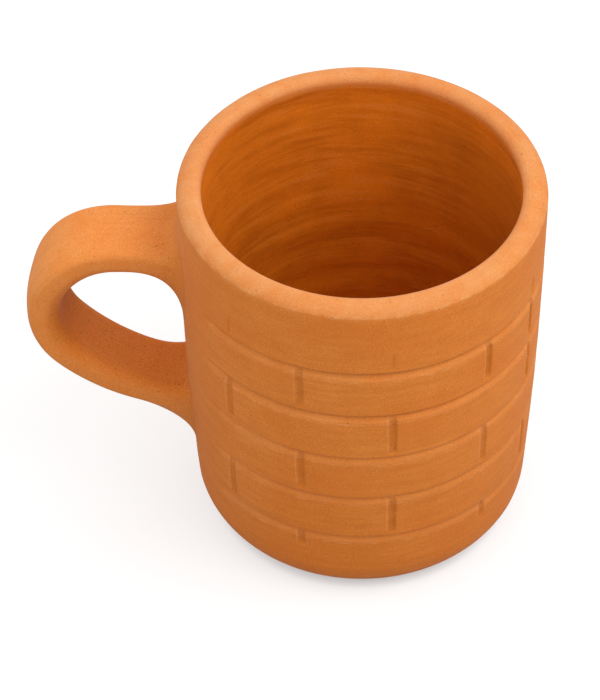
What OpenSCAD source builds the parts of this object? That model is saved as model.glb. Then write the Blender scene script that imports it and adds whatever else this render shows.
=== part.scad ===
// Terracotta mug with an incised brick pattern, in millimetres.
// A cup is thrown on the wheel and the brick pattern is cut into its wall. A pulled strap of clay
// is bent into the handle and set on the wall with slip, and a coil of soft clay is worked into
// the angle round each of its two ends.
// The cup's axis is Z and it stands on z = 0. The handle points to -X and the front faces -Y.

/* [Cup] */
// Height from the table to the top of the lip
cup_h = 99; // [90:1:115]
// Outer diameter of the wall where the lip begins
rim_d = 86.6; // [78:0.2:98]
// Outer diameter that the wall heads for at the table, before the foot turns in
base_d = 78.6; // [72:0.2:86]
// Swell of the wall past a straight line from base to lip
belly = 0.85; // [0.4:0.05:2]
// Wall thickness at the lip
lip_t = 5; // [4:0.1:6.5]
// Wall thickness at the floor
heel_t = 6; // [4.5:0.1:8]
// Thickness of the floor
floor_t = 7; // [5:0.1:9]

/* [Edges of the cup] */
// Radius of the curve that turns the wall in at the foot
foot_round = 12.6; // [12:0.1:14]
// Height where that curve begins
foot_h = 11.8; // [9:0.1:11.9]
// Radius of the outer edge of the lip
lip_out_r = 3.1; // [2:0.1:3.2]
// Radius of the inner edge of the lip
lip_in_r = 1.8; // [1:0.1:1.9]
// Radius inside, between floor and wall
heel_r = 12; // [6:0.5:16]

/* [Brick pattern] */
// Height of the bottom of the lowest ring groove
ring_z = 21.3; // [20:0.1:25]
// Height of one course of bricks
course_h = 14.05; // [11:0.05:15]
// Height of a ring groove
ring_w = 3.3; // [2:0.1:3.6]
// Depth of a ring groove
ring_depth = 0.5; // [0.3:0.05:0.8]
// Width of an upright joint
joint_w = 1.9; // [1.2:0.1:2.6]
// Depth of an upright joint
joint_depth = 0.6; // [0.4:0.05:1]
// Bare clay between an upright joint and the ring below it, or the bottom of the ring above it
joint_gap = 0.4; // [0.2:0.1:1]
// Length of the short strokes above the top ring and below the lowest one
stroke_l = 5.5; // [3:0.1:6]
// Half of the plain angle round the handle, where the pattern is wiped away
plain_angle = 36; // [30:1:50]

/* [Handle] */
// Width of the strap at its upper arm
strap_w = 18.4; // [15:0.2:22]
// Thickness of the strap at its upper arm
strap_t = 7.7; // [7:0.1:9]
// Radius of the strap's edges
strap_edge_r = 3.5; // [2:0.1:3.5]
// Drop from the top of the lip to the strap's middle, where its upper arm leaves the wall
arm_drop = 20.7; // [17:0.1:24]
// Droop of the upper arm, in degrees
arm_droop = 1; // [0:0.5:4]
// Length of the straight upper arm, from the wall
arm_l = 15.2; // [12:0.1:20]
// Radius of the tight bend, at the middle of the strap
bend_r = 18; // [15:0.5:20]
// Angle of the tight bend, in degrees
bend_angle = 133; // [124:1:136]
// Radius of the long sweep back to the wall, at the middle of the strap
sweep_r = 45.5; // [38:0.5:48]
// Swell of the strap's sides and inner face half way round from the arm to the wall
bend_swell = 0.9; // [0:0.1:1.5]
// Taper of the strap's sides and inner face at its lower end
tail_taper = 0.9; // [0:0.1:1.2]

/* [Coils round the handle's roots] */
// Reach of the upper coil along the strap
upper_coil_reach = 10; // [6:0.5:12]
// Spread of the upper coil on the wall above the strap
upper_coil_above = 2.8; // [2:0.1:5]
// Spread of the upper coil on the wall below the strap
upper_coil_below = 15; // [8:0.5:16]
// Spread of the upper coil on the wall to each side of the strap
upper_coil_side = 4.5; // [2:0.1:6]
// Reach of the lower coil along the strap
lower_coil_reach = 10; // [5:0.5:12]
// Spread of the lower coil on the wall above the strap
lower_coil_above = 3; // [2:0.1:5]
// Spread of the lower coil on the wall below the strap
lower_coil_below = 8; // [3:0.5:10]
// Spread of the lower coil on the wall to each side of the strap
lower_coil_side = 3.4; // [2:0.1:6]

/* [Hidden] */
// How far a cutting shape runs past what it cuts
overrun = 5;
// Facets of turned shapes, and straight stretches that make up the arcs of the wall, of the foot and
// heel, and of the lip
turn_fn = 120;
wall_steps = 9;
foot_steps = 8;
lip_steps = 6;
body_clay = "#C8743A";
coil_clay = "#C06C34";

// Number of ring grooves, and the share of a groove's height that is its upper side
ring_count = 5;
ring_upper_share = 0.53;
// Share of an upright joint's width that is its flat bottom
joint_floor_share = 0.6;
// Upright joints as cut by hand, in degrees round from the front towards the right: a row for the
// strokes below the lowest ring, one for each course going up, and one for the strokes above
joint_angles = [
    [-17, 48, 105, 162, 216],
    [-43, 13, 72, 130, 187],
    [-16, 46, 104, 161, 216],
    [-43, 13, 70, 128, 186],
    [-16, 46, 70, 130, 188],
    [-42, 13, 70, 128, 186],
];
// Shift of the cone that lifts the cutting tool off the clay towards the handle, a share of the rim
lift_share = 0.14;

// The wall's arc, from the base to the start of the lip: its chord, radius and centre
wall_chord = [rim_d - base_d, 2 * (cup_h - lip_out_r)] / 2;
wall_rad = (norm(wall_chord) ^ 2 / 4 + belly ^ 2) / (2 * belly);
wall_out = [wall_chord[1], -wall_chord[0]] / norm(wall_chord);
wall_c = [base_d / 2, 0] + wall_chord / 2 - wall_out * (wall_rad - belly);
function wall_r(z) = wall_c[0] + sqrt(wall_rad ^ 2 - (z - wall_c[1]) ^ 2);
// Lean of the wall out from upright at height z
function wall_lean(z) = asin((wall_c[1] - z) / wall_rad);

// Centre of an arc of radius r at height z that touches the wall's arc from inside
function tangent_c(r, z) = [wall_c[0] + sqrt((wall_rad - r) ^ 2 - (z - wall_c[1]) ^ 2), z];
foot_c = tangent_c(foot_round, foot_h);
lip_c = tangent_c(lip_out_r, cup_h - lip_out_r);
foot_dir = (foot_c - wall_c) / norm(foot_c - wall_c);
lip_dir = (lip_c - wall_c) / norm(lip_c - wall_c);
// Heights where those two arcs leave the wall
foot_top = foot_c[1] + foot_round * foot_dir[1];
lip_bottom = lip_c[1] + lip_out_r * lip_dir[1];

// The inner wall, a straight line from the floor to the lip
heel_in = wall_r(floor_t) - heel_t;
lip_in = rim_d / 2 - lip_t;
in_lean = atan((lip_in - heel_in) / (cup_h - floor_t));
function in_r(z) = heel_in + (z - floor_t) * tan(in_lean);
heel_touch_z = floor_t + heel_r * (1 - sin(in_lean));
heel_c = [in_r(heel_touch_z) - heel_r * cos(in_lean), floor_t + heel_r];
lip_touch_z = cup_h - lip_in_r * (1 - sin(in_lean));
lip_in_c = [in_r(lip_touch_z) + lip_in_r * cos(in_lean), cup_h - lip_in_r];

// Edges of ring groove i, counted from the lowest
function ring_bottom(i) = ring_z + i * course_h;
function ring_top_edge(i) = ring_bottom(i) + ring_w * ring_upper_share;
function ring_low_edge(i) = ring_bottom(i) - ring_w * (1 - ring_upper_share);
// Lower and upper end of the upright joints in row i of joint_angles
function joint_low(i) = i == 0 ? joint_high(0) - stroke_l : ring_top_edge(i - 1) + joint_gap;
function joint_high(i) = i == ring_count ? joint_low(i) + stroke_l : ring_bottom(i) - joint_gap;

// The handle's middle line, in a plane where x is the distance from the cup's axis and y is height:
// a straight arm, a tight bend and a long sweep that ends level at the wall
arm_z = cup_h - arm_drop;
arm_start = [wall_r(arm_z), arm_z];
arm_dir = [cos(arm_droop), -sin(arm_droop)];
bend_c = arm_start + arm_l * arm_dir - bend_r * [sin(arm_droop), cos(arm_droop)];
sweep_angle = 180 - arm_droop - bend_angle;
sweep_c = bend_c + (bend_r - sweep_r) * [sin(arm_droop + bend_angle), cos(arm_droop + bend_angle)];
tail_end = [sweep_c[0], sweep_c[1] - sweep_r];
// Steps of the strap's curves, and of each quarter round its section
bend_steps = 16;
sweep_steps = 8;
section_steps = 6;
// Swell of the strap at a share of the way round from the end of the arm to the wall
function swell(round_share) = bend_swell * sin(180 * round_share) - tail_taper * round_share ^ 3;
bend_share = bend_r * bend_angle / (bend_r * bend_angle + sweep_r * sweep_angle);
// A station is a point on the middle line, the strap's heading there, in degrees, and its swell
function arm_station(reach) = [arm_start + reach * arm_dir, -arm_droop, 0];
function bend_station(turn) = [
    bend_c + bend_r * [sin(turn), cos(turn)],
    -turn,
    swell(bend_share * (turn - arm_droop) / bend_angle),
];
function sweep_station(turn) = [
    sweep_c + sweep_r * [sin(turn), cos(turn)],
    -turn,
    swell(1 - (1 - bend_share) * (180 - turn) / sweep_angle),
];

// Points on an arc, from one angle to another
function arc(c, r, from, to, steps) = [
    for (i = [0 : steps])
        let (angle = from + (to - from) * i / steps)
        c + r * [cos(angle), sin(angle)]
];
// Outside of the cup, from the table round the foot and up the wall to the top of the lip
outside = concat(
    arc(foot_c, foot_round, -asin(foot_h / foot_round), asin(foot_dir[1]), foot_steps),
    [for (i = [1 : wall_steps - 1])
        let (z = foot_top + (lip_bottom - foot_top) * i / wall_steps)
        [wall_r(z), z]],
    arc(lip_c, lip_out_r, asin(lip_dir[1]), 90, lip_steps)
);
// Inside of the cup, from the top of the lip down the wall and round the heel to the floor
inside = concat(
    arc(lip_in_c, lip_in_r, 90, 180 - in_lean, lip_steps),
    arc(heel_c, heel_r, -in_lean, -90, foot_steps)
);

// The cup as a solid blank, which the handle and its coils are fitted against
module cup_blank() {
    rotate_extrude($fn = turn_fn)
        polygon(concat([[0, 0]], outside, [[0, cup_h]]));
}

// Shape of ring groove i: an upper side that faces down and a bevel below it that catches the light
module ring_groove(i) {
    rotate_extrude($fn = turn_fn)
        polygon([
            [rim_d / 2 + overrun, ring_top_edge(i)],
            [wall_r(ring_top_edge(i)), ring_top_edge(i)],
            [wall_r(ring_bottom(i)) - ring_depth, ring_bottom(i)],
            [wall_r(ring_low_edge(i)), ring_low_edge(i)],
            [rim_d / 2 + overrun, ring_low_edge(i)],
        ]);
}

// Shape of one upright joint in row i, with a flat bottom and sloping sides
module upright_joint(i, angle) {
    mid_z = (joint_low(i) + joint_high(i)) / 2;
    joint_l = joint_high(i) - joint_low(i);
    floor_w = joint_w * joint_floor_share;
    rotate([0, 0, angle - 90])
        translate([wall_r(mid_z) - joint_depth, 0, mid_z])
            rotate([0, wall_lean(mid_z), 0])
                linear_extrude(joint_l, center = true)
                    polygon([
                        [0, -floor_w / 2],
                        [joint_depth, -joint_w / 2],
                        [joint_depth + overrun, -joint_w / 2],
                        [joint_depth + overrun, joint_w / 2],
                        [joint_depth, joint_w / 2],
                        [0, floor_w / 2],
                    ]);
}

// The whole pattern, run out towards the handle by a cone set off to that side
module brick_pattern() {
    lift = rim_d * lift_share;
    function cone_r(r) = sqrt(r ^ 2 + lift ^ 2 - 2 * r * lift * cos(plain_angle));
    difference() {
        for (i = [0 : ring_count - 1])
            ring_groove(i);
        translate([-lift, 0, 0])
            cylinder(h = cup_h, r1 = cone_r(base_d / 2), r2 = cone_r(rim_d / 2), $fn = turn_fn);
    }
    for (i = [0 : ring_count])
        for (angle = joint_angles[i])
            upright_joint(i, angle);
}

// Thrown cup: wall, floor and foot in one piece of clay, with the pattern cut into it
module cup_body() {
    color(body_clay)
        difference() {
            rotate_extrude($fn = turn_fn)
                polygon(concat([[0, 0]], outside, inside, [[0, floor_t]]));
            brick_pattern();
        }
}

// Stands a shape drawn in the handle's plane upright, pointing to -X
module in_handle_plane() {
    rotate([90, 0, 180])
        children();
}

// Points round the strap's section, each as the centre of its corner and the angle round that,
// with the strap's width along x and its thickness along y
section = [
    for (quarter = [0 : 3])
        for (step = [0 : section_steps - 1])
            let (x = quarter == 0 || quarter == 3 ? 1 : -1)
            let (y = quarter < 2 ? 1 : -1)
            [
                x * (strap_w / 2 - strap_edge_r),
                y * (strap_t / 2 - strap_edge_r),
                90 * (quarter + step / (section_steps - 1)),
            ]
];

// The section set square on a station, spread by the given amounts above, below and to each side,
// and bent by a share of the way to the round of the wall
function ring_at(station, above = 0, below = 0, side = 0, round_share = 0) = [
    for (p = section)
        let (x = p[0] + (strap_edge_r + side + station[2]) * cos(p[2]))
        let (y = p[1] + (strap_edge_r + (p[1] > 0 ? above : below + station[2])) * sin(p[2]))
        let (height = station[0][1] + y * cos(station[1]))
        let (bend = wall_r(height) - sqrt(wall_r(height) ^ 2 - x ^ 2))
        [station[0][0] - y * sin(station[1]) - round_share * bend, height, x]
];

// A skin over a row of rings. An open row is capped at its ends, and a closed one joins up.
module loft(rings, closed = false) {
    count = len(section);
    total = len(rings);
    skin = [
        for (i = [0 : total - (closed ? 1 : 2)])
            for (j = [0 : count - 1])
                let (here = i * count)
                let (next = ((i + 1) % total) * count)
                let (k = (j + 1) % count)
                each [[here + j, next + k, here + k], [here + j, next + j, next + k]]
    ];
    first = [for (j = [0 : count - 1]) j];
    last = [for (j = [count - 1 : -1 : 0]) (total - 1) * count + j];
    polyhedron([for (ring = rings) each ring], closed ? skin : concat([first], skin, [last]));
}

// Pulled strap handle, its ends run into the cup and cut to sit on the wall
module handle() {
    stations = concat(
        [arm_station(-overrun), arm_station(0)],
        [for (i = [0 : bend_steps]) bend_station(arm_droop + bend_angle * i / bend_steps)],
        [for (i = [1 : sweep_steps]) sweep_station(180 - sweep_angle * (1 - i / sweep_steps))],
        [[tail_end - [rim_d / 4, 0], -180, swell(1)]]
    );
    color(body_clay)
        difference() {
            in_handle_plane()
                loft([for (station = stations) ring_at(station)]);
            cup_blank();
        }
}

// Coil worked into a hollow curve round the strap: its outer skin leaves the strap at the first
// station and spreads to the wall in a quarter round, and its inner skin lies on the strap
coil_steps = 8;
module coil(stations, above, below, side) {
    spreads = [for (i = [0 : coil_steps]) 1 - sqrt(1 - (i / coil_steps) ^ 2)];
    reach = len(stations) - 1;
    outer = [
        for (i = [1 : reach])
            let (step = min(i, coil_steps))
            let (spread = spreads[step])
            ring_at(stations[i], above * spread, below * spread, side * spread, step / coil_steps)
    ];
    inner = [for (i = [reach : -1 : 0]) ring_at(stations[i])];
    loft(concat(outer, inner), closed = true);
}

// Coil of clay round the upper root, drawn out far down the wall
module upper_root_coil() {
    reaches = concat([for (i = [0 : coil_steps]) upper_coil_reach * (1 - i / coil_steps)], [-overrun]);
    color(coil_clay)
        difference() {
            in_handle_plane()
                coil(
                    [for (reach = reaches) arm_station(reach)],
                    upper_coil_above, upper_coil_below, upper_coil_side
                );
            cup_blank();
        }
}

// Coil of clay round the lower root, following the end of the sweep
module lower_root_coil() {
    wall_x = wall_r(tail_end[1]);
    reaches = [for (i = [0 : coil_steps]) lower_coil_reach * (1 - i / coil_steps)];
    turns = [for (reach = reaches) 180 - asin((wall_x + reach - sweep_c[0]) / sweep_r)];
    stations = concat([for (turn = turns) sweep_station(turn)], [[tail_end - [overrun, 0], -180, swell(1)]]);
    color(coil_clay)
        difference() {
            in_handle_plane()
                coil(stations, lower_coil_below, lower_coil_above, lower_coil_side);
            cup_blank();
        }
}

cup_body();
handle();
upper_root_coil();
lower_root_coil();
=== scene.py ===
import bpy
import numpy as np
from mathutils import Matrix, Vector


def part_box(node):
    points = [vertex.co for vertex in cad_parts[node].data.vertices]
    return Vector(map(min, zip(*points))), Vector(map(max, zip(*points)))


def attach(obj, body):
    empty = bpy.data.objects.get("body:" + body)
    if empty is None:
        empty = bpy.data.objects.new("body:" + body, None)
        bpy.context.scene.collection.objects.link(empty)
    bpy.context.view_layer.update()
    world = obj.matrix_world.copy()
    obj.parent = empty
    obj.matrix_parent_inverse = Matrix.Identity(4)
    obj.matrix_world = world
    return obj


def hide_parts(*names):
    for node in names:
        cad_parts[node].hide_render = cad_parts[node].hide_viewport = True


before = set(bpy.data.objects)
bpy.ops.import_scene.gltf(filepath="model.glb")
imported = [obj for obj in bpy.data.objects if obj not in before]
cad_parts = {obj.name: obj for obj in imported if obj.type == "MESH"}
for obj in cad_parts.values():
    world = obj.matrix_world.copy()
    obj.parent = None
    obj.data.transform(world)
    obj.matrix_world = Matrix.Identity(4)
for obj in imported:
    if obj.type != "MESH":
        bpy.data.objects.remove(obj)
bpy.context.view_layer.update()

# The cup: thick red earthenware, thrown in one piece on the wheel, with its foot turned in under the
# wall and its lip rounded with a wet cloth. While the clay was damp, a brick pattern was cut into the
# wall by hand: five rings on the turning wheel, then upright joints with the same blunt tool.
mm = 0.001
cup_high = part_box("cup_body")[1] / mm

# How far the skin lies inside the frame's box, which leaves room for the wobble of a hand-made wall
skin_margin = 0.1
cup_h = cup_high.z
rim_r = cup_high.x - skin_margin
base_r = 39.3 - skin_margin
belly = 0.85
wall_wobble = 0.1
wall_ripple = 0.03

# The foot's round, how far in the wall's skin goes there and how its wobble fades, and the shallow dish
# under the cup; the middle of both floors is closed by one face
foot_round = 12.6
foot_z = 11.8
foot_r = 27.5 - skin_margin
foot_end = np.radians(-4)
foot_in = 4
foot_plain_z = 0.5
foot_plain_l = 9
dish_depth = 0.35
dish_r = 24
dish_edge_w = 4
pole_r = 1.5

# The lip, from its tight outer edge over a slow slope to the roll inside
lip_edge_r = 1.4
lip_slope_r = 4.4
lip_in_r = 2.1
lip_turn = np.radians(38)
lip_drop = lip_slope_r - (lip_slope_r - lip_edge_r) * np.sin(lip_turn)
lip_l = 5
lip_fade_l = 4
lip_dip = 0.1
lip_chip = 0.035
lip_edge_rise, lip_edge_w = 0.4, 0.6
wall_top = cup_h - lip_drop

# The inside: a leaning wall, hollowed behind the lip, with two sets of finger ridges, and a swirled floor
heel_round = 12
heel_r = 22.3
heel_w = 6
floor_z = 7
in_lean = np.radians(2.6)
hollow_depth = 0.9
hollow_drop, hollow_drop_l = 2, 5
hollow_foot, hollow_foot_l = 60, 26
fine_h, fine_pitch, fine_top = 0.06, 4.4, 70
broad_h, broad_pitch, broad_top, broad_start = 0.17, 9.4, 82, 45.5
ridge_fade_l = 30
in_wobble = 0.12
swirl_h, swirl_pitch = 0.16, 5
swirl_from, swirl_from_l, swirl_end_l = 2, 5, 8

# Heights of the dark lines of the five rings, and how deep the tool went in at each, from the lowest
lowest_ring = 22.6
course_h = 14.06
ring_depths = np.array([0.34, 0.42, 0.46, 0.75, 0.75])
ring_lines = lowest_ring + course_h * np.arange(len(ring_depths))

# The ring's section above and below its line: an eased edge, the crease, the foot of the bevel, a faint
# second line on the bevel and the burr below it
ring_lip = 0.35
ring_crease = 0.85
ring_foot = 2.5
ring_stray = 0.12
ring_waver_share = 0.14
second_drop, second_w, second_share = 1.55, 0.16, 0.1
burr_drop, burr_w, burr_h = 2.7, 0.22, 0.06

# Upright joints as cut by hand, in degrees round from the front towards the right: those below the
# lowest ring, those of the four courses going up, and those above the top ring
joint_rows = [
    [-17.4, 48.1, 105, 162, 216],
    [-44.7, 13.3, 72.2, 130, 187],
    [-16.6, 46.5, 104, 161, 216],
    [-43.4, 13.0, 70.6, 128, 186],
    [-16.4, 46.2, 69.9, 130, 188],
    [-42.1, 12.5, 69.9, 128, 186],
]
joint_half = 0.85
joint_soft = 0.38
joint_cut = 0.38
joint_end = 0.8
joint_over, joint_under = 0.9, 0.3
joint_sway = 0.12
joint_burr, joint_burr_off, joint_burr_w = 0.07, 0.45, 0.28
crack_w = 0.2
stroke_l = 5.5
scratch_share = 0.5

# The stretch of wall behind the handle that the pattern leaves plain
plain_half = np.radians(34)
plain_fade = np.radians(7)
handle_azimuth = np.radians(-90)


def step(share):
    """Eases from 0 to 1: flat outside that range, and 3 t squared less 2 t cubed within it."""
    share = np.clip(share, 0, 1)
    return share * share * (3 - 2 * share)


def hump(offset, width):
    """A soft hump, 1 at no offset: e to the power of less the square of offset over width."""
    return np.exp(-((offset / width) ** 2))


def waves(seed, turn, along, most_turns, pitch=1, count=14):
    """A smooth hand-made wobble of about -1 to 1: a sum of cosine waves, each with a whole number of
    turns round, a random slope along of at most one wave in a pitch, and a random phase."""
    dice = np.random.default_rng(seed)
    turns = dice.integers(1, most_turns + 1, count)
    rises = dice.uniform(-1, 1, count) / pitch
    phases = dice.uniform(0, 1, count)
    total = sum(
        np.cos(n * turn + 2 * np.pi * (rise * along + phase))
        for n, rise, phase in zip(turns, rises, phases)
    )
    return total / np.sqrt(2 * count)


def spread(low, high, count, weight):
    """Places count values from low to high, closer together where a weight of the value is larger: the
    weight's running sum is read backwards at even steps."""
    fine = np.linspace(low, high, 20000)
    total = np.cumsum(weight(fine))
    return np.interp(np.linspace(total[0], total[-1], count), total, fine)


def wall_radius(z):
    """Outer radius of the plain wall at a height: a straight taper from base to lip, plus a parabola
    that swells it half way up."""
    share = z / wall_top
    return base_r + (rim_r - base_r) * share + 4 * belly * share * (1 - share)


def clear_of_handle(azimuth):
    """1 round most of the cup, easing to 0 on the plain stretch of wall behind the handle."""
    from_handle = np.abs((azimuth - handle_azimuth + np.pi) % (2 * np.pi) - np.pi)
    return step((from_handle - plain_half) / plain_fade)


def ring_cut(azimuth, z):
    """Depth of the ring grooves. Below each line the tool eased in from the wall above to its full
    depth, and a slightly hollow bevel leads out again to a fine burr. The depth wavers round the cup, a
    second faint line lies on the bevel, and the rings run out towards the handle."""
    kept = clear_of_handle(azimuth)
    depth = 0
    for i, (line, full) in enumerate(zip(ring_lines, ring_depths)):
        t = z - line - ring_stray * waves(20 + i, azimuth, 0 * z, most_turns=5)
        waver = full * (1 + ring_waver_share * waves(30 + i, azimuth, 0 * z, most_turns=40, count=24))
        upper = step((ring_lip - t) / (ring_lip + ring_crease))
        bevel = np.clip((t + ring_foot) / (ring_foot - ring_crease), 0, 1) ** 1.3
        second = second_share * hump(t + second_drop, second_w) * (upper > 0.9)
        ragged = 1 + waves(40 + i, azimuth, z, most_turns=90, pitch=2, count=24)
        burr = burr_h * ragged * hump(t + burr_drop, burr_w)
        depth = depth + kept * (waver * (np.minimum(upper, bevel) + second) - burr)
    return depth


def joint_depth(azimuth, z):
    """Depth of the upright joints: a channel with soft edges and rounded ends, a little deeper on its
    right, where the clay is torn in a fine crack here and there, with a low burr pushed up along its
    left. Joints on the right of the cup are pressed in a little harder, and those above the top ring
    are scratches of a share of the size."""
    depth = 0
    for i, row in enumerate(joint_rows):
        over_rings = i == len(ring_lines)
        low = ring_lines[i - 1] + joint_over if i else ring_lines[0] - joint_under - stroke_l
        high = ring_lines[-1] + joint_over + stroke_l if over_rings else ring_lines[i] - joint_under
        share = scratch_share if over_rings else 1
        half, soft = share * joint_half, share * joint_soft
        for angle in row:
            seed = 100 + 10 * i + int(angle)
            sway = joint_sway * waves(seed, 0 * azimuth, z, most_turns=1, pitch=9)
            off = (azimuth - np.radians(angle) + np.pi) % (2 * np.pi) - np.pi
            across = off * wall_radius(z) - sway
            channel = step((half + soft - np.abs(across)) / (2 * soft))
            ends = step((z - low) / joint_end) * step((high - z) / joint_end)
            uneven = 0.3 * waves(seed + 1, 0 * azimuth, z, most_turns=1, pitch=2.5)
            waver = 1 + 0.12 * across / half + uneven
            burr = share * joint_burr * hump(across + half + joint_burr_off, joint_burr_w)
            pressed = share * joint_cut * (1 + 0.1 * np.sin(np.radians(angle)))
            torn = np.clip(waves(seed + 2, 0 * azimuth, z, most_turns=1, pitch=1.6), 0, 1)
            crack = 0.5 * torn * hump(across - 0.45 * half, crack_w)
            depth = depth + ends * (pressed * (waver * channel + crack) - burr)
    return depth


def wall_skin(azimuth, z):
    """Outer radius of the finished wall: the plain wall, a slow wobble of a tenth of a millimetre, and
    the pattern cut in, where rings and joints meet the deeper of the two."""
    wobble = wall_wobble * waves(1, azimuth, z, most_turns=5, pitch=45)
    ripple = wall_ripple * waves(2, azimuth, z, most_turns=24, pitch=7)
    rings, joints = ring_cut(azimuth, z), joint_depth(azimuth, z)
    return wall_radius(z) + wobble + ripple - np.where(np.abs(joints) > rings, joints, rings)


def cup_outline():
    """The cup's section from the middle of its underside, round the foot, up the wall, over the lip and
    down inside to the middle of the floor, as radius and height, with rows crowded on the rings. The
    lip turns in over a tight edge, then rises in a slow arc and rolls over inside."""
    ring_middle, ring_reach = 1.1, 2.1

    def near_ring(z):
        off = np.min([np.abs(z - line + ring_middle) for line in ring_lines], axis=0)
        return np.where(off < ring_reach, 6, 1)

    def arc(centre, radius, start, stop, count):
        turn = np.linspace(start, stop, count)
        return centre[0] + radius * np.cos(turn), centre[1] + radius * np.sin(turn)

    level = np.radians(90)
    foot = arc((foot_r, foot_z), foot_round, -np.arcsin(foot_z / foot_round), foot_end, 15)
    under_r = np.linspace(pole_r, foot[0][0], 13)[:-1]
    under_z = dish_depth * (1 - step((under_r - dish_r) / dish_edge_w))
    wall_z = spread(foot[1][-1], wall_top, 134, near_ring)[1:-1]
    edge_c = np.array([rim_r - lip_edge_r, wall_top])
    slope_c = edge_c - (lip_slope_r - lip_edge_r) * np.array([np.cos(lip_turn), np.sin(lip_turn)])
    edge = arc(edge_c, lip_edge_r, 0, lip_turn, 6)
    slope = arc(slope_c, lip_slope_r, lip_turn, level, 10)
    roll = arc((slope_c[0], cup_h - lip_in_r), lip_in_r, level, 2 * level, 9)
    heel = arc((heel_r, floor_z + heel_round), heel_round, -in_lean, -level, 15)
    down = np.linspace(0, 1, 48)[1:-1]
    in_r = roll[0][-1] + (heel[0][0] - roll[0][-1]) * down
    in_z = roll[1][-1] + (heel[1][0] - roll[1][-1]) * down
    floor_r = np.linspace(heel_r, pole_r, 14)[1:]
    stretches = [
        (under_r, under_z), foot, (wall_radius(wall_z), wall_z), edge, (slope[0][1:], slope[1][1:]),
        (roll[0][1:], roll[1][1:]), (in_r, in_z), heel, (floor_r, np.full(len(floor_r), floor_z)),
    ]
    lip_row = sum(len(stretch[0]) for stretch in stretches[:5])
    r, z = [np.concatenate(parts)[:, None] for parts in zip(*stretches)]
    return r, z, lip_row


def cup_columns():
    """Azimuths round the cup, crowded on the upright joints, most of all on those at the front."""
    angles = np.radians(np.concatenate(joint_rows))
    joint_reach = np.radians(2.1)

    def near_joint(azimuth):
        off = np.abs(azimuth[:, None] - angles[None, :])
        front = np.where(np.cos(azimuth) > 0, 8.5, 5.5)
        return np.where(off.min(axis=1) < joint_reach, front, 1)

    return spread(handle_azimuth, handle_azimuth + 2 * np.pi, 391, near_joint)[None, :-1]


def finger_marks(azimuth, z):
    """How far the inner wall lies out from its plain cone: a hollow behind the lip, a slow wobble, and
    spiral ridges of the potter's fingers, a fine and a broad sine wave that climb a pitch in a turn,
    grow towards the floor and are pressed unevenly."""
    hollow = hollow_depth * step((cup_h - hollow_drop - z) / hollow_drop_l)
    hollow = hollow * step((z - hollow_foot) / hollow_foot_l)
    fine_turn = 2 * np.pi * z / fine_pitch + azimuth
    fine_turn = fine_turn + 0.6 * waves(5, azimuth, z, most_turns=3, pitch=20)
    broad_turn = 2 * np.pi * (z - broad_start) / broad_pitch + azimuth + np.pi
    broad_turn = broad_turn + 0.5 * waves(6, azimuth, z, most_turns=3, pitch=30)
    press = 0.85 + 0.5 * waves(10, azimuth, z, most_turns=4, pitch=25)
    fine = fine_h * step((fine_top - z) / ridge_fade_l) * np.sin(fine_turn)
    broad = broad_h * step((broad_top - z) / ridge_fade_l) * np.sin(broad_turn)
    return hollow + press * (fine + broad) + in_wobble * waves(3, azimuth, z, most_turns=4, pitch=40)


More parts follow.
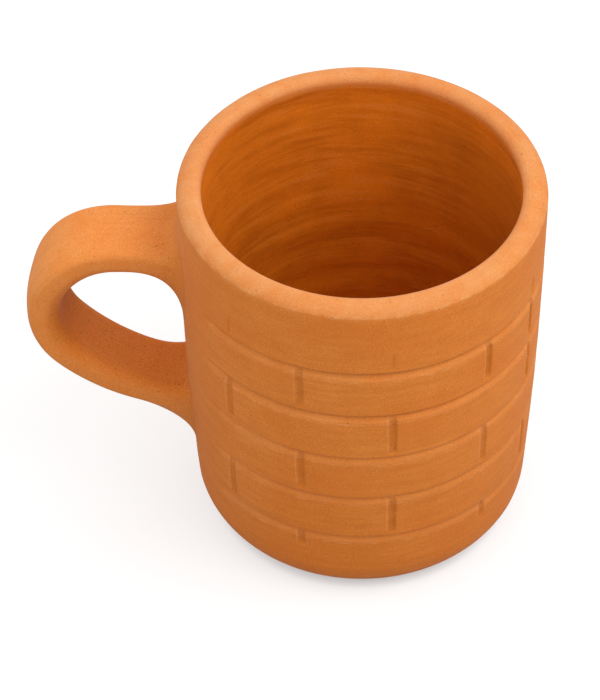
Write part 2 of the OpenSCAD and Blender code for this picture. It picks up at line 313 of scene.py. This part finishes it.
def cup_wear_and_shade(azimuth, r, z, outer, on_wall, at_edge):
    """What each point of the cup bears besides its shape, as shares: how worn it is on the lip, and the
    wear with a painted highlight along the burrs below the rings and on the joints' burrs; how strongly
    wet fingers have streaked it, most of all inside; dust with a painted highlight on the lip, weaker on
    the right, and a painted highlight on the bevels; and painted shade in the creases of the rings, round
    the foot and on the two sides of the inside, most on the right, with painted shade and soil in the
    joints. With them goes the travel, the length along the outline."""
    burr_highlight_drop, burr_highlight_w = 2.8, 0.3
    bevel_drop, bevel_w = 1.75, 0.8
    crease_drop, crease_w = 0.15, 0.5
    lip_wear_l = 1.5
    lip_highlight_below, lip_highlight_l = 0.5, 2.4
    slip_drop, slip_l = 0.5, 3
    foot_contact_shade_z = 4
    inside_shade_z, inside_shade_l = 97.5, 16
    steps = np.hypot(np.diff(r, axis=0), np.diff(z, axis=0))
    travel = np.concatenate([[[0]], np.cumsum(steps, axis=0)]) + 0 * azimuth
    kept = clear_of_handle(azimuth) * on_wall
    joints = joint_depth(azimuth, z)

    ragged = np.clip(0.5 + 0.7 * waves(9, azimuth, z, most_turns=70, pitch=6, count=40), 0, 1)
    lip_wear = 0.45 * step((z - wall_top) / lip_wear_l) * (1 - at_edge)
    lip_wear = lip_wear + (0.5 + 0.5 * ragged) * at_edge
    # Wear with a painted highlight along the burrs below the rings and on the joints' left edges
    low_edges = sum(hump(z - line + burr_highlight_drop, burr_highlight_w) for line in ring_lines)
    ring_burr_highlight = (0.4 + 0.6 * ragged) * low_edges * kept
    joint_burr_highlight = 0.8 * np.clip(-joints / joint_burr, 0, 1) * on_wall
    wear_and_highlight = lip_wear + np.maximum(ring_burr_highlight, joint_burr_highlight)

    streaked = np.where(outer, 0.4, step((cup_h - slip_drop - z) / slip_l)) + 0 * azimuth

    # A painted highlight on the ring bevels, and on the lip dust with a painted highlight, weaker on the
    # right
    bevel_highlight = sum(hump(z - line + bevel_drop, bevel_w) for line in ring_lines)
    dusty = step((z - wall_top + lip_highlight_below) / lip_highlight_l) * (1.05 - 0.15 * np.sin(azimuth))
    dusty = dusty + 0.4 * bevel_highlight * kept

    # Painted shade in the creases of the rings, and painted shade with some soil in the joints
    creases = sum(
        full**2.5 * hump(z - line + crease_drop, crease_w)
        for line, full in zip(ring_lines, ring_depths)
    )
    cuts = np.maximum(3.6 * creases * kept, np.clip(joints / joint_cut, 0, 1.4) * on_wall)
    # Painted shade round the foot, where it meets the floor
    at_foot = outer * step((foot_contact_shade_z - z) / foot_contact_shade_z)
    # Painted shade on the two sides of the inside, most on the right, fading towards the lip
    sides = 2.2 * np.clip(np.sin(azimuth), 0, 1) + 0.8 * np.clip(-np.sin(azimuth), 0, 1)
    grubby = cuts + at_foot + np.where(outer, 0, step((inside_shade_z - z) / inside_shade_l) * sides)
    return {"travel": travel, "wear_and_highlight": wear_and_highlight, "streaked": streaked, "dusty": dusty, "grubby": grubby}


def cup_grid():
    """The cup's skin: its outline turned about the axis. Outside, the wall takes its pattern; inside,
    it takes the marks of the potter's fingers, and the floor a sine wave swirl; the lip dips a little
    here and there and its edge is a little ragged. With it go the cup's measures of wear, streaks, dust
    and painted light and shade."""
    azimuth = cup_columns()
    r, z, lip_row = cup_outline()
    outer = np.arange(len(r))[:, None] < lip_row
    on_wall = outer & (r > base_r - foot_in)
    on_floor = ~outer & (r < heel_r + heel_w)
    at_edge = hump(z - wall_top - lip_edge_rise, lip_edge_w) * outer
    near_lip = step((z - (cup_h - lip_l)) / lip_fade_l)
    carved = (wall_skin(azimuth, z) - wall_radius(z)) * step((z - foot_plain_z) / foot_plain_l)
    inside = finger_marks(azimuth, z) * (1 - near_lip)
    chips = waves(8, azimuth, 0 * z, most_turns=60, count=40) - 1
    dips = np.minimum(waves(4, azimuth, 0 * z, most_turns=6) - 1, 0)
    swirl = swirl_h * np.sin(2 * np.pi * r / swirl_pitch + azimuth)
    swirl = swirl * step((r - swirl_from) / swirl_from_l) * step((heel_r + heel_w - r) / swirl_end_l)
    skin_r = r + np.where(on_wall, carved, 0) + np.where(~outer & ~on_floor, inside, 0)
    skin_r = skin_r + lip_chip * at_edge * chips
    skin_z = z + lip_dip * near_lip * dips + np.where(on_floor, swirl, 0)
    grid = np.stack([skin_r * np.sin(azimuth), -skin_r * np.cos(azimuth), skin_z], axis=-1)
    return grid, cup_wear_and_shade(azimuth, r, z, outer, on_wall, at_edge)


def skin(name, grid, closed=False, **measures):
    """A mesh over a grid of points in millimetres: four-sided faces between neighbouring rows and
    columns, the columns joined round, and the rows joined round too or each end row closed by one face.
    Each measure is kept as an attribute of the points."""
    rows, columns = grid.shape[:2]
    index = np.arange(rows * columns).reshape(rows, columns)
    if closed:
        index = np.vstack([index, index[:1]])
    turned = np.roll(index, -1, axis=1)
    quads = np.stack([index[:-1], turned[:-1], turned[1:], index[1:]], axis=-1).reshape(-1, 4)
    caps = [] if closed else [index[0, ::-1].tolist(), index[-1].tolist()]
    mesh = bpy.data.meshes.new(name)
    mesh.from_pydata((grid * mm).reshape(-1, 3).tolist(), [], quads.tolist() + caps)
    mesh.shade_smooth()
    for measure, values in measures.items():
        layer = mesh.attributes.new(measure, "FLOAT", "POINT")
        layer.data.foreach_set("value", np.ascontiguousarray(values, dtype=np.float32).ravel())
    piece = bpy.data.objects.new(name, mesh)
    bpy.context.scene.collection.objects.link(piece)
    return piece


# Colours of the clay's marks: the clay near the foot, slip high and deep inside and where it lies
# thick, dark and pale streaks, sand, painted shade with some soil in the cuts and hollows, dust with a
# painted highlight, crumbs on worn edges that also paint highlights, pits, and bloom
foot_tint = "#C9661A"
slip_high, slip_deep, slip_thick = "#EC8314", "#EA8A06", "#B8640C"
streak_tint, hair_tint = "#A85200", "#E48C38"
sand_tint, shade_and_soil_tint = "#B9601D", "#9C5206"
dust_and_highlight_tint, crumb_and_highlight_tint = "#DCA574", "#F2B478"
pit_tint, bloom_tint = "#8F4A1A", "#FFE6D2"

# Sizes of the marks in millimetres; grain and pits are flattened by the turning wheel
cloud_size, patch_size = 18, 5
grain_size, grain_flat = 0.4, 1.8
pit_size, pit_flat = 0.9, 2.6
crumb_size = 0.45
relief_h = 0.18

# Heights below which the clay darkens towards the foot, and between which the slip grows deeper
foot_shade_z = 50
slip_high_z, slip_deep_z = 85, 20


def clay_colour(code):
    """Linear colour of an sRGB hex code: each channel over 12.92 when dark, and otherwise lifted by
    0.055, scaled and raised to 2.4."""
    parts = [int(code[i : i + 2], 16) / 255 for i in (1, 3, 5)]
    return [p / 12.92 if p <= 0.04045 else ((p + 0.055) / 1.055) ** 2.4 for p in parts] + [1]


def add(tree, kind, inputs=None, **settings):
    """Adds a node to a tree with its settings, and sets or links each of its named inputs."""
    node = tree.nodes.new(kind)
    for name, value in settings.items():
        setattr(node, name, value)
    for name, value in (inputs or {}).items():
        if isinstance(value, bpy.types.NodeSocket):
            tree.links.new(value, node.inputs[name])
        else:
            node.inputs[name].default_value = value
    return node


def terracotta(name, streak_l, streak_w, dark, light):
    """Fired red earthenware, unglazed: a matt orange-brown body with cloudy tones, a fine sandy grain,
    a few small open pits, pale crumbs along its worn edges that also paint highlights along the burrs,
    painted shade in its cuts, creases and hollows with some soil in the joints, dust with a painted
    highlight on its upper faces, and the streaks of wet fingers along the way it was worked, as long and
    as wide as given in millimetres. Where they are strongest, a coat of slip makes the clay deeper in
    colour."""
    material = bpy.data.materials.new(name)
    material.use_nodes = True
    tree = material.node_tree
    tree.nodes.clear()
    place = add(tree, "ShaderNodeTexCoord").outputs["Object"]
    in_mm = add(tree, "ShaderNodeVectorMath", {0: place, "Scale": 1 / mm}, operation="SCALE").outputs[0]
    sides = add(tree, "ShaderNodeSeparateXYZ", {0: in_mm}).outputs
    travel, wear_and_highlight, streaked, dusty, grubby = [
        add(tree, "ShaderNodeAttribute", attribute_name=measure).outputs["Fac"]
        for measure in ("travel", "wear_and_highlight", "streaked", "dusty", "grubby")
    ]

    # Noises of the real sizes: clouds and patches from the fire, sandy grain, streaks that follow the
    # way the clay was worked, pits and crumbs, with the detail and the roughness of each
    flat, thin = [
        add(tree, "ShaderNodeVectorMath", {0: in_mm, 1: (1, 1, times)}, operation="MULTIPLY").outputs[0]
        for times in (grain_flat, pit_flat)
    ]
    across = add(tree, "ShaderNodeMath", {0: travel, 1: streak_l / streak_w}, operation="MULTIPLY")
    wiped = add(
        tree, "ShaderNodeCombineXYZ", {"X": sides["X"], "Y": sides["Y"], "Z": across.outputs[0]}
    ).outputs[0]
    cloud, patch, grain, streak, pit_noise, crumb_noise = [
        add(
            tree, "ShaderNodeTexNoise",
            {"Vector": where, "Scale": 1 / size, "Detail": detail, "Roughness": roughness},
        ).outputs["Fac"]
        for where, size, detail, roughness in (
            (in_mm, cloud_size, 3, 0.5), (in_mm, patch_size, 3, 0.5), (flat, grain_size, 3, 0.6),
            (wiped, streak_l, 5, 0.6), (thin, pit_size, 2, 0.5), (in_mm, crumb_size, 2, 0.5),
        )
    ]

    # Pits are a little commoner in the cuts, crumbs lie on worn edges and paint highlights along the
    # burrs, and the tone joins both clouds
    in_cut = add(tree, "ShaderNodeMath", {0: grubby, 1: 1.0}, operation="MINIMUM").outputs[0]
    pitting, tone = [
        add(tree, "ShaderNodeMath", {0: more, 1: times, 2: noise}, operation="MULTIPLY_ADD").outputs[0]
        for more, times, noise in ((in_cut, 0.04, pit_noise), (patch, 0.5, cloud))
    ]
    crumbling_and_highlight = add(tree, "ShaderNodeMath", {0: crumb_noise, 1: wear_and_highlight}, operation="MULTIPLY").outputs[0]

    # How strongly each mark shows: what it follows, where that starts and is full, the least, the most
    marks = {
        "fire": (tone, 0.5, 1, 0, 1),
        "foot": (sides["Z"], foot_shade_z, 0, 0, 0.5),
        "deep": (sides["Z"], slip_high_z, slip_deep_z, 0, 1),
        "thick": (tone, 0.6, 0.95, 0, 0.4),
        "smears": (cloud, 0.35, 0.65, 0.25, 1),
        "streaks": (streak, 0.42, 0.66, 0, 0.56),
        "hairs": (streak, 0.46, 0.3, 0, 0.6),
        "sand": (grain, 0.4, 0.68, 0, 0.5),
        # Dust together with a painted highlight on the lip, the bevels and the strap's upper faces
        "dust": (patch, 0.3, 0.7, 0.2, 0.42),
        "bare": (streaked, 0, 1, 1, 0.2),
        "specks": (grain, 0.38, 0.26, 0, 0.52),
        # Crumbs, which also paint highlights along the burrs of the rings and joints
        "crumbs_and_highlight": (crumbling_and_highlight, 0.2, 0.6, 0, 0.45),
        "pits": (pitting, 0.71, 0.77, 0, 0.85),
        "bloom": (streaked, 0, 1, 0.19, 0),
    }
    shares = {
        mark: add(
            tree, "ShaderNodeMapRange",
            {"Value": value, "From Min": start, "From Max": full, "To Min": least, "To Max": most},
        ).outputs["Result"]
        for mark, (value, start, full, least, most) in marks.items()
    }
    # The darkening mask is painted shade in creases, hollows, round the foot and under the strap, with
    # some soil in the joints
    shares.update({"streaked": streaked, "dusty": dusty, "shade_soil": grubby, "shade_soil_most": 0.27})
    for mark, other in (
        ("smears", "streaked"), ("streaks", "smears"), ("hairs", "streaked"), ("shade_soil", "shade_soil_most"),
        ("dust", "dusty"), ("specks", "bare"),
    ):
        shares[mark] = add(
            tree, "ShaderNodeMath", {0: shares[mark], 1: shares[other]}, operation="MULTIPLY"
        ).outputs[0]
    coated = add(tree, "ShaderNodeMath", {0: streaked, 1: 3.0}, operation="POWER").outputs[0]
    crumbs_and_highlight = add(
        tree, "ShaderNodeMath", {0: shares["crumbs_and_highlight"], 1: shares["specks"]}, operation="MAXIMUM"
    ).outputs[0]

    # The slip inside, then the whole clay: each colour laid over the last by its share, painted shade and
    # painted highlights among them
    slip = clay_colour(slip_high)
    for share, tint in ((shares["deep"], slip_deep), (shares["thick"], slip_thick)):
        slip = add(
            tree, "ShaderNodeMix", {0: share, 6: slip, 7: clay_colour(tint)}, data_type="RGBA"
        ).outputs[2]
    clay = clay_colour(dark)
    for share, tint in (
        (shares["fire"], clay_colour(light)), (shares["foot"], clay_colour(foot_tint)), (coated, slip),
        (shares["streaks"], clay_colour(streak_tint)), (shares["hairs"], clay_colour(hair_tint)),
        # Painted shade with some soil, then dust with a painted highlight, then crumbs that also paint
        # highlights
        (shares["sand"], clay_colour(sand_tint)), (shares["shade_soil"], clay_colour(shade_and_soil_tint)),
        (shares["dust"], clay_colour(dust_and_highlight_tint)), (crumbs_and_highlight, clay_colour(crumb_and_highlight_tint)),
        (shares["pits"], clay_colour(pit_tint)),
    ):
        clay = add(tree, "ShaderNodeMix", {0: share, 6: clay, 7: tint}, data_type="RGBA").outputs[2]

    # Crumbs stand up, and grain, pits and streaks lie low
    relief = crumbs_and_highlight
    for mark, height in ((grain, -1.0), (shares["pits"], -1.5), (shares["streaks"], -0.8)):
        relief = add(
            tree, "ShaderNodeMath", {0: mark, 1: height, 2: relief}, operation="MULTIPLY_ADD"
        ).outputs[0]
    bumpy = add(
        tree, "ShaderNodeBump", {"Height": relief, "Strength": 0.5, "Distance": relief_h * mm}
    ).outputs["Normal"]
    shader = add(
        tree, "ShaderNodeBsdfPrincipled",
        {"Base Color": clay, "Roughness": 0.8, "IOR": 1.45, "Specular IOR Level": 0.15,
         "Sheen Weight": shares["bloom"], "Sheen Roughness": 0.4, "Sheen Tint": clay_colour(bloom_tint),
         "Normal": bumpy},
    ).outputs["BSDF"]
    add(tree, "ShaderNodeOutputMaterial", {"Surface": shader})
    return material


grid, wear_and_shade = cup_grid()
cup = skin("thrown_cup", grid, **wear_and_shade)
cup.data.materials.append(terracotta("terracotta_thrown", 15, 1.5, "#DC7B2F", "#E78C3D"))
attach(cup, "root")
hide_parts("cup_body")

# The handle: a strap of the same clay, pulled by hand to a flat ribbon with rounded edges, bent over
# in an ear and stuck to the damp wall with slip at both ends.
strap_w, strap_t = 18.4, 7.7
outer_edge, inner_edge = 2.1, 2.9
strap_crown = 0.25
strap_wobble = 0.1
arm_drop = 20.7
arm_droop = np.radians(1)
arm_l = 15.2
bend_r, bend_turn = 18, np.radians(133)
sweep_r = 45.5
sweep_turn = np.pi - arm_droop - bend_turn
swell_from = 9
bend_swell = 1.1
bend_crown, crown_lean = 0.65, 0.1
tail_taper = 1.3
root_depth = 2
line_start, line_stop = -10, 140
# The strap's tones are lighter than the cup's clay: painted light on the strap and its roots
strap_lit_dark, strap_lit_light = "#EC8839", "#F49A4B"
pulled_streak_l, pulled_streak_w = 30, 0.9
# How strongly the strap is streaked, and the most dust with a painted highlight on its upper faces
pulled_streaks, strap_highlight_most = 0.35, 0.35
# Where painted shade lies on the strap: inside the bend, at both roots, and from how far along it begins
bend_shade_at, bend_shade_l = 46, 13
upper_root_shade_l, lower_root_shade_l = 6, 9
shade_from, shade_ease_l = 8, 20
arm_z = cup_h - arm_drop
arm_r = wall_radius(arm_z) + skin_margin
strap_l = arm_l + bend_r * bend_turn + sweep_r * sweep_turn


def strap_line(along):
    """The strap's middle line in its own plane, at lengths along it from the wall, as distance from
    the cup's axis, height and heading: the heading stays on the arm, turns evenly on the tight bend
    and more slowly on the long sweep, and the line is the running sum of its steps."""
    fine = np.linspace(line_start, line_stop, 6001)
    bend = np.clip((fine - arm_l) / bend_r, 0, bend_turn)
    sweep = np.clip((fine - arm_l - bend_r * bend_turn) / sweep_r, 0, sweep_turn)
    heading = -arm_droop - bend - sweep
    middle = heading[1:] / 2 + heading[:-1] / 2
    away = np.concatenate([[0], np.cumsum(np.cos(middle) * np.diff(fine))])
    rise = np.concatenate([[0], np.cumsum(np.sin(middle) * np.diff(fine))])
    away = arm_r + away - np.interp(0, fine, away)
    rise = arm_z + rise - np.interp(0, fine, rise)
    return [np.interp(along, fine, values) for values in (away, rise, heading)]


def strap_section(count=76):
    """Points round the strap at even steps, across and through it, with the direction each one faces: a
    rectangle whose corners are quarter rounds, tighter outside than inside, and whose two broad faces
    are slightly crowned."""
    turn = np.linspace(0, 2 * np.pi, 4000, endpoint=False)
    edge = np.where(np.sin(turn) > 0, outer_edge, inner_edge)
    edge_t = strap_t - 2 * strap_crown
    across = np.sign(np.cos(turn)) * (strap_w / 2 - edge) + edge * np.cos(turn)
    through = np.sign(np.sin(turn)) * (edge_t / 2 - edge) + edge * np.sin(turn)
    loop = np.stack([across, through, np.cos(turn), np.sin(turn)])
    loop = np.concatenate([loop, loop[:, :1]], axis=1)
    length = np.concatenate([[0], np.cumsum(np.hypot(*np.diff(loop[:2], axis=1)))])
    even = np.linspace(0, length[-1], count, endpoint=False)
    across, through, face_x, face_y = [np.interp(even, length, values)[None, :] for values in loop]
    crown = strap_crown * (1 - (2 * across / strap_w) ** 2)
    return across, through + crown * np.sign(face_y), face_x, face_y


def strap_points(along, spread_side=0, spread_out=0, spread_in=0):
    """Distance from the axis, offset to the right and height of the strap's skin at lengths along it:
    its section set square on the middle line, swollen sideways and on its outer and inner face by the
    given spreads, with a wobble of a tenth of a millimetre from the hand. Round the bend the strap
    grows thicker inwards and sideways and its outer face falls off to the edges, by half a sine wave
    that peaks early, and it tapers with the cube of the way to its tail."""
    away, rise, heading = [values[:, None] for values in strap_line(along)]
    across, through, face_x, face_y = strap_section()
    turn = np.linspace(0, 2 * np.pi, across.shape[1], endpoint=False)[None, :]
    wobble = strap_wobble * np.minimum(waves(7, turn, along[:, None], most_turns=3, pitch=22) - 0.6, 0.1)
    wobble = wobble / np.hypot(face_x, face_y)
    round_share = np.clip((along[:, None] - swell_from) / (strap_l - swell_from), 0, 1)
    bent = np.sin(np.pi * round_share**0.6) * step(round_share / 0.3)
    swell = bend_swell * bent - tail_taper * round_share**3
    wide = 2 * across / strap_w
    rounded = bent * (bend_crown + crown_lean * wide) * wide**2 * np.clip(face_y, 0, 1)
    x = across + (wobble + spread_side + swell) * face_x
    y = through - rounded + (wobble + np.where(face_y > 0, spread_out, spread_in + swell)) * face_y
    return away - y * np.sin(heading), x, rise + y * np.cos(heading)


def strap_painted_shade(along):
    """How much painted shade the strap takes at lengths along it: on its inner face below the arm, most
    of all inside the bend, a little on its edges, and all of it close to both roots."""
    face_y = strap_section()[3]
    inside = np.clip(-face_y, 0, 1) * (0.6 + 1.5 * hump(along - bend_shade_at, bend_shade_l))
    edges = 0.15 * (1 - np.abs(face_y))
    at_roots = 0.6 * hump(along, upper_root_shade_l) + 0.6 * hump(strap_l - along, lower_root_shade_l)
    return step((along - shade_from) / shade_ease_l) * (inside + edges) + at_roots


def strap_dust_and_highlight():
    """How much dust and painted highlight the strap takes round its section: its outer face and its
    sides, and none inside.
    """
    return strap_highlight_most * np.clip(strap_section()[3] + 0.6, 0, 1)


tail_r, tail_z, _ = strap_line(np.array([strap_l]))
wall_gap = float(wall_radius(tail_z[0]) - tail_r[0])
along = np.linspace(-root_depth, strap_l - wall_gap + root_depth, 170)
away, side, height = strap_points(along)
strap = skin(
    "strap_handle", np.stack([-away, -side, height], axis=-1), travel=side,
    streaked=0 * away + pulled_streaks, dusty=strap_dust_and_highlight() + 0 * away, grubby=strap_painted_shade(along[:, None]),
)
strap.data.materials.append(
    terracotta("terracotta_pulled", pulled_streak_l, pulled_streak_w, strap_lit_dark, strap_lit_light)
)
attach(strap, "root")
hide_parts("handle")

# The roots: a soft coil of the same clay pressed into the angle round each end of the strap and worked
# with a wet finger into a hollow curve that runs out to nothing on the strap and on the wall.
feather = 0.01
sunk_depth = 0.4
# Painted shade in the hollow of each root
root_painted_shade = 1.2

# For each root, its reach along the strap, how far it spreads sideways, outside and inside, and how
# long it hugs the strap's outer and inner face
upper_sizes = 12.5, 4.5, 7, 15, 2.8, 1.4
lower_sizes = 11, 3.8, 10, 3.3, 1, 1.4


def root_skin(name, wall_at, inward, reach, side_l, out_l, in_l, out_hug, in_hug):
    """A coil's closed skin. Its outside leaves the strap at the reach and swings to the wall in a
    quarter of an ellipse, on each side as wide as given there, while its rings bend from the strap's
    square section to the round of the wall; a hug above 1 keeps it to that face of the strap for longer.
    Its inside lies just under the strap and the wall. The two rows where it runs out are kept sharp."""
    swing = np.radians(np.linspace(90, 0, 28))[:, None]
    gap = reach * (1 - np.sin(swing))
    grow = 1 - np.cos(swing)
    away, side, height = strap_points(
        wall_at + inward * gap[:, 0], side_l * grow + feather,
        out_l * grow**out_hug + feather, in_l * grow**in_hug + feather,
    )
    wall_away = np.sqrt(wall_skin(np.arctan2(-away, side), height) ** 2 - side**2)
    away = away + np.sin(swing) ** 2 * (wall_away + feather + gap - away)
    inner = strap_points(wall_at + inward * np.array([reach, 0]), -sunk_depth, -sunk_depth, -sunk_depth)
    in_wall = away[:1] - sunk_depth, side[:1], height[:1]
    rings = [np.concatenate(rows) for rows in zip(in_wall, (away, side, height), inner)]
    rings[0][-1] -= sunk_depth
    grid = np.stack([-rings[0], -rings[1], rings[2]], axis=-1)
    travel = rings[1]
    faded = np.concatenate([[[1]], grow, [[0], [1]]])
    # Dust with a painted highlight as on the strap, fading out towards the wall, and painted shade that
    # grows from the strap's to the root's full shade at the wall
    dusty = strap_dust_and_highlight() * (1 - faded)
    ring_along = wall_at + inward * np.concatenate([gap[:1], gap, [[reach], [0]]])
    grubby = strap_painted_shade(ring_along) * (1 - faded) + root_painted_shade * faded
    if inward < 0:
        grid, travel, dusty, grubby = grid[::-1], travel[::-1], dusty[::-1], grubby[::-1]
    streaked = 0 * travel + pulled_streaks
    root = skin(name, grid, closed=True, travel=travel, streaked=streaked, dusty=dusty, grubby=grubby)
    columns = grid.shape[1]
    edge_rows = (1, len(swing)) if inward > 0 else (len(grid) - 2, len(grid) - 1 - len(swing))
    ends = np.empty(2 * len(root.data.edges), dtype=int)
    root.data.edges.foreach_get("vertices", ends)
    rows = ends.reshape(-1, 2) // columns
    feathered = (rows[:, 0] == rows[:, 1]) & np.isin(rows[:, 0], edge_rows)
    layer = root.data.attributes.new("sharp_edge", "BOOLEAN", "EDGE")
    layer.data.foreach_set("value", feathered)
    return root


luted_clay = terracotta(
    "terracotta_luted", pulled_streak_l, pulled_streak_w, strap_lit_dark, strap_lit_light
)
for name, node, wall_at, inward, root_sizes in (
    ("upper_root", "upper_root_coil", 0, 1, upper_sizes),
    ("lower_root", "lower_root_coil", strap_l - wall_gap, -1, lower_sizes),
):
    root = root_skin(name, wall_at, inward, *root_sizes)
    root.data.materials.append(luted_clay)
    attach(root, "root")
    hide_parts(node)

# The studio: a sheet of white paper under two soft round lamps on the right, one high and one low and
# weak, in an evenly white room. The paper glows for the camera alone, and ambient occlusion dims the
# glow close under the cup, a painted contact shadow.
floor_half = 3.0
paper_colour = "#AAAAAA"
painted_shadow_reach = 4
glow_least, glow_most = 0.3, 0.62
room_level = 1.05
lamp_size = 1.0
lamp_aim = Vector((0, 0, 0.05))
floor_mesh = bpy.data.meshes.new("studio_floor")
corners = [(x * floor_half, y * floor_half, 0) for x, y in ((-1, -1), (1, -1), (1, 1), (-1, 1))]
floor_mesh.from_pydata(corners, [], [(0, 1, 2, 3)])
floor = bpy.data.objects.new("studio_floor", floor_mesh)
bpy.context.scene.collection.objects.link(floor)
paper = bpy.data.materials.new("paper_white")
paper.use_nodes = True
tree = paper.node_tree
tree.nodes.clear()
matt = add(tree, "ShaderNodeBsdfDiffuse", {"Color": clay_colour(paper_colour)}).outputs[0]
# Ambient occlusion near the cup dims the paper's glow: a painted contact shadow
painted_contact_shadow = add(
    tree, "ShaderNodeAmbientOcclusion", {"Distance": painted_shadow_reach * mm}, samples=16
).outputs["AO"]
lift = add(
    tree, "ShaderNodeMapRange",
    {"Value": painted_contact_shadow, "From Max": 0.6, "To Min": glow_least, "To Max": glow_most},
).outputs["Result"]
seen = add(tree, "ShaderNodeLightPath").outputs["Is Camera Ray"]
strength = add(tree, "ShaderNodeMath", {0: lift, 1: seen}, operation="MULTIPLY").outputs[0]
glow = add(tree, "ShaderNodeEmission", {"Color": (1, 1, 1, 1), "Strength": strength}).outputs[0]
shown = add(tree, "ShaderNodeAddShader", {0: matt, 1: glow}).outputs[0]
add(tree, "ShaderNodeOutputMaterial", {"Surface": shown})
floor_mesh.materials.append(paper)

room = bpy.data.worlds.new("white_room")
room.use_nodes = True
tree = room.node_tree
tree.nodes.clear()
path = add(tree, "ShaderNodeLightPath").outputs
seen = path["Is Camera Ray"]
for ray in ("Is Glossy Ray", "Is Transmission Ray"):
    seen = add(tree, "ShaderNodeMath", {0: seen, 1: path[ray]}, operation="MAXIMUM").outputs[0]
level = add(tree, "ShaderNodeMix", {0: seen, 2: room_level, 3: 1.0}).outputs[0]
sky = add(tree, "ShaderNodeBackground", {"Color": (1, 1, 1, 1), "Strength": level}).outputs[0]
add(tree, "ShaderNodeOutputWorld", {"Surface": sky})
bpy.context.scene.world = room

for name, energy, spot in (
    ("key_lamp", 6.6, (0.80, -0.29, 1.21)),
    ("side_lamp", 0.8, (1.3, -0.1, 0.5)),
):
    lamp_data = bpy.data.lights.new(name, "AREA")
    lamp_data.shape = "DISK"
    lamp_data.size = lamp_size
    lamp_data.energy = energy
    lamp = bpy.data.objects.new(name, lamp_data)
    lamp.location = spot
    lamp.rotation_euler = (lamp_aim - lamp.location).to_track_quat("-Z", "Y").to_euler()
    bpy.context.scene.collection.objects.link(lamp)

# The camera: a long lens a metre away, looking down at the cup, as the photograph was taken.
camera_place = Vector((36.60, -717.63, 750.55))
camera_gaze = Vector((-0.05094, 0.71156, -0.70076))
camera_tilt = np.radians(-0.6083)
camera_data = bpy.data.cameras.new("camera")
camera_data.lens = 215.34
camera_data.sensor_width = 36
camera = bpy.data.objects.new("camera", camera_data)
camera.location = camera_place * mm
level_view = camera_gaze.to_track_quat("-Z", "Y").to_matrix()
camera.rotation_euler = (level_view @ Matrix.Rotation(camera_tilt, 3, "Z")).to_euler()
bpy.context.scene.collection.objects.link(camera)
bpy.context.scene.camera = camera
bpy.context.scene.view_settings.view_transform = "Standard"
